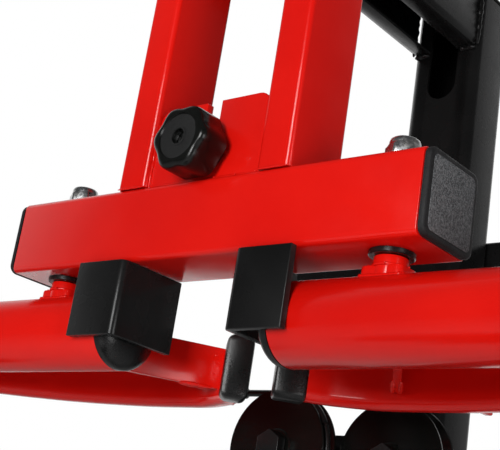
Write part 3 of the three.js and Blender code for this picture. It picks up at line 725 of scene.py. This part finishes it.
# ---- fly arms ----
# The braces in millimetres: the middle line's (x, y) from the beam's front middle, the sections of tube and
# cap, and each web's middle, turn in degrees and reach.
BRACE_ROUTE = (
    (345, 32), (300, 60), (246, 88), (194, 108), (135, 119),
    (86, 120), (65.8, 117.3), (47, 109.5), (37.8, 103.7), (30.2, 96.1),
)
BRACE_SIZE = (15, 39, 6)
BRACE_CAP = (20.5, 18, 42)
WEBS = {"left": ((-73, 69), 57, 46), "right": ((116.5, 67.5), 123.5, 60)}
WEB_LOW, WEB_HIGH = -10.5 * MM, 17.5 * MM
# Where the saddle starts and ends along the arm, its width, and how far its top is below the beam.
SADDLE = (-14.5 * MM, 12.5 * MM, 18 * MM, 9 * MM)


def make_arm(side, sign):
    body = f"arm_{side}"
    low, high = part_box(f"arm_tube_{side}")
    radius = (high.y - low.y) / 2
    axis_at = ((low.y + high.y) / 2, low.z + radius)
    pivot = middle(f"pivot_bolt_{side}")
    tube = rod("x", low.x, high.x, radius, axis_at, RED, 0.8 * MM, 128)
    bush_at = (pivot.x, pivot.y)
    top = high.z
    bush = rod("z", axis_at[1] + radius - 4 * MM, top, 9.8 * MM, bush_at, RED, 0.7 * MM)
    near, far, width, drop = SADDLE
    centre = (pivot.x + (near + far) / 2, pivot.y)
    saddle_top = BEAM_BOTTOM - drop
    saddle = bar("z", saddle_top - 12 * MM, saddle_top, far - near, width, 4 * MM, centre, RED, 1.4 * MM)
    foot = []
    for x, y in rounded(far - near + 1 * MM, width + 1 * MM, 4.5 * MM, 5):
        across = min(abs(y), radius)
        foot.append(Vector((centre[0] + x, centre[1] + y, axis_at[1] + math.sqrt(radius ** 2 - across ** 2))))
    foot.append(foot[0])
    bush_foot = [Vector((pivot.x + u, pivot.y + v, saddle_top)) for u, v in circle(10 * MM, 24)]
    bush_foot.append(bush_foot[0])
    shapes = [tube, bush, saddle, weld(foot, 1.2 * MM), weld(bush_foot, 0.9 * MM)]
    drops = [Vector((pivot.x + u, pivot.y + v, saddle_top)) for u, v in circle(12 * MM, 5)]
    shapes += spatter(drops, 0.9 * MM)
    piece(f"arm_tube_{side}_fine", body, shapes, f"arm_tube_{side}")

    outer = high.x if sign > 0 else low.x
    end = [(radius - 3 * MM, 0.2), (radius, 0.2), (radius, 2.4)]
    end += [(radius - 1.2 * MM, 4), (radius * 0.6, 5), (0, 5.2)]
    plug = lathe("x", [(r, outer + sign * w * MM) for r, w in end], axis_at, RUBBER)
    piece(f"arm_end_cap_{side}", body, [plug])

    low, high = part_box(f"arm_plug_{side}")
    face = low.x if sign < 0 else high.x
    tip = high.x if sign < 0 else low.x
    rim = (low.x + 15 * MM) if sign < 0 else (high.x - 15 * MM)
    dome = abs(tip - rim) - 2.5 * MM
    neck = radius - 3 * MM
    profile = [(neck, face), (neck, rim), (radius, rim), (radius, rim - sign * 2.5 * MM)]
    for k in range(1, 17):
        angle = math.pi / 2 * k / 16
        profile.append((radius * math.cos(angle), rim - sign * (2.5 * MM + dome * math.sin(angle))))
    piece(f"arm_plug_{side}_fine", body, [lathe("x", profile, axis_at, RUBBER, steps=96)], f"arm_plug_{side}")
    make_brace(side, sign, body)
    make_pad_rod(side, body)


def make_brace(side, sign, body):
    width, height, corner = (value * MM for value in BRACE_SIZE)
    z = middle(f"brace_cap_{side}").z
    path = smooth_path([Vector((sign * x * MM, BEAM_FRONT + y * MM, z)) for x, y in BRACE_ROUTE], 16)
    tube = sweep(path, rounded(width, height, corner, 9), RED)
    (cx, cy), turn, far = WEBS[side]
    plate = box_shape((-34 * MM, -2.5 * MM, WEB_LOW), (far * MM, 2.5 * MM, WEB_HIGH), RED)
    centre = Matrix.Translation((cx * MM, BEAM_FRONT + cy * MM, z))
    turned = centre @ Matrix.Rotation(math.radians(turn), 4, "Z")
    plate = ([turned @ p for p in plate[0]], *plate[1:])
    reach = (far - 10) * MM
    beads = [weld([turned @ Vector((reach, 0, level)) for level in (WEB_LOW, WEB_HIGH)], 2.4 * MM)]
    for y in (-2.5 * MM, 2.5 * MM):
        beads.append(weld([turned @ Vector((x, y, WEB_LOW)) for x in (14 * MM, reach)], 1.3 * MM))
    pulley = middle(f"pulley_{side}")
    lug_x = sorted((sign * 100 * MM, sign * 106 * MM))
    lug_low = (lug_x[0], BEAM_FRONT + 118 * MM, BEAM_BOTTOM - 53 * MM)
    lug = box_shape(lug_low, (lug_x[1], pulley.y + 7 * MM, BEAM_BOTTOM - 36 * MM), RED, 1.2 * MM)
    piece(f"brace_{side}_fine", body, [tube, plate, lug, *beads], f"brace_{side}")

    length, cap_width, cap_height = (value * MM for value in BRACE_CAP)
    ahead = (path[-1] - path[-2]).normalized()
    turned = Matrix.Translation(path[-1]) @ Matrix.Rotation(math.atan2(ahead.y, ahead.x), 4, "Z")
    cap = bar("x", 0.3 * MM, length, cap_width, cap_height, 5 * MM, (0, 0), RUBBER, 2.2 * MM)
    piece(f"brace_cap_{side}_fine", body, [([turned @ p for p in cap[0]], *cap[1:])], f"brace_cap_{side}")


def make_pad_rod(side, body):
    node = f"pad_rod_{side}"
    low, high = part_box(node)
    at = (middle(node).x, middle(node).y)
    shapes = [
        rod("z", low.z, high.z, 12.5 * MM, at, BLACK),
        rod("z", high.z - 40 * MM, high.z, 18.5 * MM, at, BLACK, 1.5 * MM),
        rod("z", low.z, low.z + 10 * MM, 15.5 * MM, at, RUBBER, 3 * MM),
    ]
    piece(f"{node}_fine", body, shapes, node)
    foam_sleeve(f"elbow_pad_{side}", "z", body)


def foam_sleeve(node, axis, body):
    """A foam sleeve with soft ends and a slightly swollen middle."""
    low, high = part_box(node)
    k = "xyz".index(axis)
    others = [i for i in range(3) if i != k]
    radius = (high[others[0]] - low[others[0]]) / 2
    at = tuple((low[i] + high[i]) / 2 for i in others)
    span = high[k] - low[k]
    bore = 13 * MM
    profile = [(bore, low[k] + 1.5 * MM)]
    count = 40
    for i in range(count + 1):
        t = i / count
        w = low[k] + span * t
        near = min(w - low[k], high[k] - w)
        soft = 11 * MM
        round_end = 1 if near > soft else math.sqrt(max(0.0, 1 - (1 - near / soft) ** 2))
        swell = 1 + 0.012 * math.sin(math.pi * t) + 0.004 * noise.noise(Vector((w * 40, radius, 0)))
        profile.append(((radius - soft + soft * round_end) * 0.985 * swell, w))
    profile.append((bore, high[k] - 1.5 * MM))
    sleeve = piece(f"{node}_fine", body, [lathe(axis, profile, at, FOAM, closed=True, steps=80)], node)


# ---- mast and head arm ----
SLOT_RADIUS = 13 * MM
SLOT_BOTTOM = 1560 * MM
SLOT_TOP = 1612 * MM


def make_mast():
    low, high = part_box("mast")
    cap_low, cap_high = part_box("mast_cap")
    width, depth = cap_high.x - cap_low.x, cap_high.y - cap_low.y
    at = (middle("mast_cap").x, middle("mast_cap").y)
    wall = 2.5 * MM
    mast = build("mast_fine", [bar("z", low.z, high.z, width, depth, 9 * MM, at, BLACK)])
    hollow = bar("z", low.z + 0.3, high.z + 0.1, width - 2 * wall, depth - 2 * wall, 6.5 * MM, at, BLACK)
    front = at[1] - depth / 2
    cut = (front - 5 * MM, front + 10 * MM)
    round_end = rod("y", *cut, SLOT_RADIUS, (0, SLOT_BOTTOM), BLACK, 0.1 * MM)
    slot_low = (-SLOT_RADIUS, cut[0], SLOT_BOTTOM)
    straight = box_shape(slot_low, (SLOT_RADIUS, cut[1], SLOT_TOP), BLACK, 0.1 * MM)
    carve(mast, hollow, round_end, straight)
    fixed(mast, "root", "black_powder_coat", "mast")
    carriage_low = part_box("weight_carriage")[0].z
    span = (carriage_low - 20 * MM, carriage_low - 0.3 * MM)
    collar = bar("z", *span, width + 14 * MM, depth + 14 * MM, 10 * MM, at, BLACK, 1.2 * MM)
    piece("carriage_rest_collar", "root", [collar])
    lid = bar("z", cap_low.z + 14.3 * MM, cap_high.z, width, depth, 9 * MM, at, GLOSS, 2 * MM)
    piece("mast_cap_fine", "root", [lid], "mast_cap")

    refined("head_arm", "root", BLACK, 0.8 * MM)
    arm_low, arm_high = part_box("head_arm")
    beads = []
    for sign in (-1, 1):
        x = at[0] + sign * 30 * MM
        levels = (arm_low.z + 2 * MM, arm_high.z - 2 * MM)
        beads.append(weld([Vector((x, front, z)) for z in levels], 2.2 * MM, BLACK))
    for ends in ((-28 * MM, -14 * MM), (14 * MM, 28 * MM)):
        beads.append(weld([Vector((x, front, arm_low.z)) for x in ends], 2.4 * MM, BLACK))
    piece("head_arm_weld", "root", beads)
    cap_at = (0, (arm_low.z + arm_high.z) / 2)
    span = (arm_low.y - 3 * MM, arm_low.y - 0.2 * MM)
    height = arm_high.z - arm_low.z
    nose = bar("y", *span, 60 * MM, height, 7 * MM, cap_at, RUBBER, 1.2 * MM)
    piece("head_arm_cap", "root", [nose])

    low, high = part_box("crossbar")
    at = (middle("crossbar").y, middle("crossbar").z)
    tube = bar("x", low.x, high.x, high.y - low.y, high.z - low.z, 4 * MM, at, BLACK)
    piece("crossbar_fine", "root", [tube], "crossbar")
    for side, sign in SIDES:
        end = high.x if sign > 0 else low.x
        span = sorted((end + sign * 0.2 * MM, end + sign * 3.5 * MM))
        cap = bar("x", *span, high.y - low.y, high.z - low.z, 4 * MM, at, RUBBER, 1.2 * MM)
        piece(f"crossbar_cap_{side}", "root", [cap])


# ---- pulleys and cables ----
CABLE_RADIUS = 2.5 * MM
CABLE_RIDE = 39.5 * MM
CABLE_LUG = 99.7 * MM
CABLE_DROP = 25 * MM


def make_pulley(side):
    node = f"pulley_{side}"
    at = (middle(node).x, middle(node).z)
    y = middle(node).y
    # Half of the wheel's section, from the bore out to the bottom of the groove.
    outline = [
        (6.4, -8), (12, -8), (13, -7), (30, -6.4), (38, -7.8), (41.2, -8),
        (41.5, -7.4), (41.2, -6), (37.6, -3.2), (36.6, -1.6), (36.4, 0),
    ]
    outline += [(r, -w) for r, w in reversed(outline[:-1])]
    shape = lathe("y", [(r * MM, y + w * MM) for r, w in outline], at, GLOSS, closed=True, steps=120)
    piece(f"{node}_fine", node, [shape], node)


def make_cable(side, sign):
    centre = middle(f"pulley_{side}")
    run_low, run_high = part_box(f"cable_run_{side}")
    top = centre.z + CABLE_RIDE
    over = []
    for i in range(19):
        angle = math.radians(90 + sign * 5 * i)
        across, up = CABLE_RIDE * math.cos(angle), CABLE_RIDE * math.sin(angle)
        over.append(Vector((centre.x + across, centre.y, centre.z + up)))
    drop_x = centre.x - sign * CABLE_RIDE
    over.append(Vector((drop_x, centre.y, centre.z - CABLE_DROP)))
    wrap = build(f"cable_over_pulley_{side}", [sweep(over, circle(CABLE_RADIUS, 20), RUBBER)])
    fixed(wrap, "root", "black_rubber", f"cable_wrap_{side}")

    lug = Vector((sign * CABLE_LUG, centre.y, top))
    start = Vector((centre.x, centre.y, top))
    steps = 24
    tail_path = [start.lerp(lug, i / steps) for i in range(steps + 1)]
    tail = build(f"cable_tail_{side}", [sweep(tail_path, circle(CABLE_RADIUS, 20), RUBBER)])
    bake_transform(tail)
    ferrule = rod("x", *sorted((lug.x - sign * 16 * MM, lug.x)), 4.2 * MM, (lug.y, lug.z), ZINC, 1 * MM)
    piece(f"cable_ferrule_{side}", f"arm_{side}", [ferrule])

    straight = rod("z", run_low.z, run_high.z, CABLE_RADIUS, (drop_x, centre.y), RUBBER, 0.2 * MM, 20)
    run = build(f"cable_run_{side}_fine", [straight])
    fixed(run, "root", "black_rubber", f"cable_run_{side}")
    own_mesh(run)


# ---- base, seat, back and legs ----
def make_base():
    low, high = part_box("base_rail")
    at = (middle("base_rail").x, middle("base_rail").z)
    tube = bar("y", low.y, high.y, high.x - low.x, high.z - low.z, 6 * MM, at, BLACK)
    piece("base_rail_fine", "root", [tube], "base_rail")
    beads = []
    for foot in ("front_foot", "rear_foot"):
        low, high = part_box(foot)
        at = (middle(foot).y, middle(foot).z)
        tube = bar("x", low.x, high.x, high.y - low.y, high.z - low.z, 6 * MM, at, BLACK)
        piece(f"{foot}_fine", "root", [tube], foot)
        y = high.y if foot == "front_foot" else low.y
        for sign in (-1, 1):
            x = sign * 30 * MM
            levels = (low.z + 5 * MM, high.z - 5 * MM)
            beads.append(weld([Vector((x, y, z)) for z in levels], 2.2 * MM, BLACK))
        for side, _ in SIDES:
            refined(f"{foot}_shoe_{side}", "root", RUBBER, 1.6 * MM)
    piece("base_welds", "root", beads)
    low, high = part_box("seat_post")
    at = (middle("seat_post").x, middle("seat_post").y)
    post = bar("z", low.z, high.z, high.x - low.x, high.y - low.y, 5 * MM, at, BLACK)
    beads = []
    ends = (low.y + 3 * MM, high.y - 3 * MM)
    for z in (low.z, high.z):
        for sign in (-1, 1):
            x = sign * (high.x - low.x) / 2
            beads.append(weld([Vector((x, y, z)) for y in ends], 2 * MM, BLACK))
    piece("seat_post_fine", "root", [post, *beads], "seat_post")


def padded_form(node, swell, limit):
    """Swells a CAD pad into an upholstered cushion with cloth under pressure."""
    source = frame["nodes"][node]
    cushion = bpy.data.objects.new(f"{node}_cover", source.data.copy())
    bpy.context.scene.collection.objects.link(cushion)
    centre = middle(node)
    for vertex in cushion.data.vertices:
        vertex.co = centre + (vertex.co - centre) * swell
    remesh = cushion.modifiers.new("even", "REMESH")
    remesh.mode = "VOXEL"
    remesh.voxel_size = 5.5 * MM
    apply_modifiers(cushion)
    rest = [v.co.copy() for v in cushion.data.vertices]
    cloth = cushion.modifiers.new("stuffing", "CLOTH")
    cloth.settings.use_pressure = True
    cloth.settings.uniform_pressure_force = 4
    cloth.settings.effector_weights.gravity = 0
    cloth.point_cache.frame_end = 20
    for step in range(1, 21):
        bpy.context.scene.frame_set(step)
    apply_modifiers(cushion)
    bpy.context.scene.frame_set(1)
    for vertex, start in zip(cushion.data.vertices, rest):
        move = vertex.co - start
        if move.length > limit:
            vertex.co = start + move * (limit / move.length)
    finer = cushion.modifiers.new("finer", "SUBSURF")
    finer.levels = 1
    apply_modifiers(cushion)
    cushion.data.materials.clear()
    cushion.data.materials.append(VINYL)
    cushion.data.polygons.foreach_set("material_index", [0] * len(cushion.data.polygons))
    shade(cushion, 180)
    return cushion


def piping(width, length, corner, turn, depth, radius, material):
    """A round welt along the seam of a pad."""
    path = [turn @ Vector((x, y, depth)) for x, y in rounded(width, length, corner, 14)]
    path.append(path[0])
    return sweep(path, circle(radius, 12), material)


def make_pad(node, body, turn, width, length, thickness, corner):
    """A cushion with piping round the seam. turn places its middle."""
    cushion = padded_form(node, 0.975, 9 * MM)
    fixed(cushion, body, "black_vinyl", node)
    seam = -thickness / 2 + 15 * MM
    trim = piping(width - 1 * MM, length - 1 * MM, corner, turn, seam, 2.4 * MM, VINYL)
    piece(f"{node}_piping", body, [trim])


BACK_REST = math.radians(80)
# The back pad in the back's own frame, in metres from the hinge pin.
BACK_PAD_Y = (72 * MM, 690 * MM)
BACK_PAD_Z = (26 * MM, 82 * MM)
BACK_PAD_WIDTH = 280 * MM
BACK_KNOB_RADIUS = 13.3
BACK_KNOB_LOBE = 0.7
BACK_KNOB_LOBES = 9


def make_bench():
    refined("seat_rail", "root", BLACK, 0.8 * MM)
    refined("back_frame", "back", BLACK, 0.8 * MM)
    low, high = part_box("seat_pad")
    size = high - low
    seat_turn = Matrix.Translation(middle("seat_pad"))
    make_pad("seat_pad", "root", seat_turn, size.x, size.y, size.z, 18 * MM)
    hinge = Vector(JOINTS["back_recline"]["pos_m"])
    back_turn = Matrix.Translation(hinge) @ Matrix.Rotation(BACK_REST, 4, "X")
    pad_middle = back_turn @ Matrix.Translation((0, sum(BACK_PAD_Y) / 2, sum(BACK_PAD_Z) / 2))
    length = BACK_PAD_Y[1] - BACK_PAD_Y[0]
    thickness = BACK_PAD_Z[1] - BACK_PAD_Z[0]
    make_pad("back_pad", "back", pad_middle, BACK_PAD_WIDTH, length, thickness, 46 * MM)

    for node in ("back_pin", "back_clamp_bolt"):
        low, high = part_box(node)
        at = (middle(node).y, middle(node).z)
        shank = 6 if node == "back_pin" else 5
        flats = 19 if node == "back_pin" else 17
        shapes = [
            rod("x", low.x, high.x, shank * MM, at, ZINC),
            hexagon("x", low.x, low.x + 6 * MM, flats * MM, at, ZINC),
        ]
        if node == "back_pin":
            shapes.append(hexagon("x", high.x - 7.5 * MM, high.x, flats * MM, at, ZINC))
        piece(f"{node}_fine", "root", shapes, node)
    low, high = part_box("back_clamp_knob")
    at = (middle("back_clamp_knob").y, middle("back_clamp_knob").z)
    rings = []
    near = [(2, low.x), (0.4, low.x + 1 * MM), (0, low.x + 3 * MM)]
    far = [(0, high.x - 5 * MM), (1.2, high.x - 1.5 * MM), (4, high.x)]
    for inset, w in near + far:
        outline = lobed(BACK_KNOB_RADIUS - inset, BACK_KNOB_LOBE, BACK_KNOB_LOBES, 108)
        rings.append(placed("x", outline, w, at))
    piece("back_clamp_knob_fine", "back_clamp", [loft(rings, GLOSS)], "back_clamp_knob")

    refined("leg_lever", "legs", BLACK, 0.9 * MM)
    for level, body in (("upper", "root"), ("lower", "legs")):
        for side, _ in SIDES:
            foam_sleeve(f"roller_{level}_{side}", "x", body)


make_yoke()
make_knob()
for arm_side, arm_sign in SIDES:
    make_arm(arm_side, arm_sign)
    make_pulley(arm_side)
    make_cable(arm_side, arm_sign)
make_mast()
refined("pulley_bracket", "root", BLACK, 0.8 * MM)
refined("weight_carriage", "carriage", BLACK, 0.9 * MM)
make_base()
make_bench()
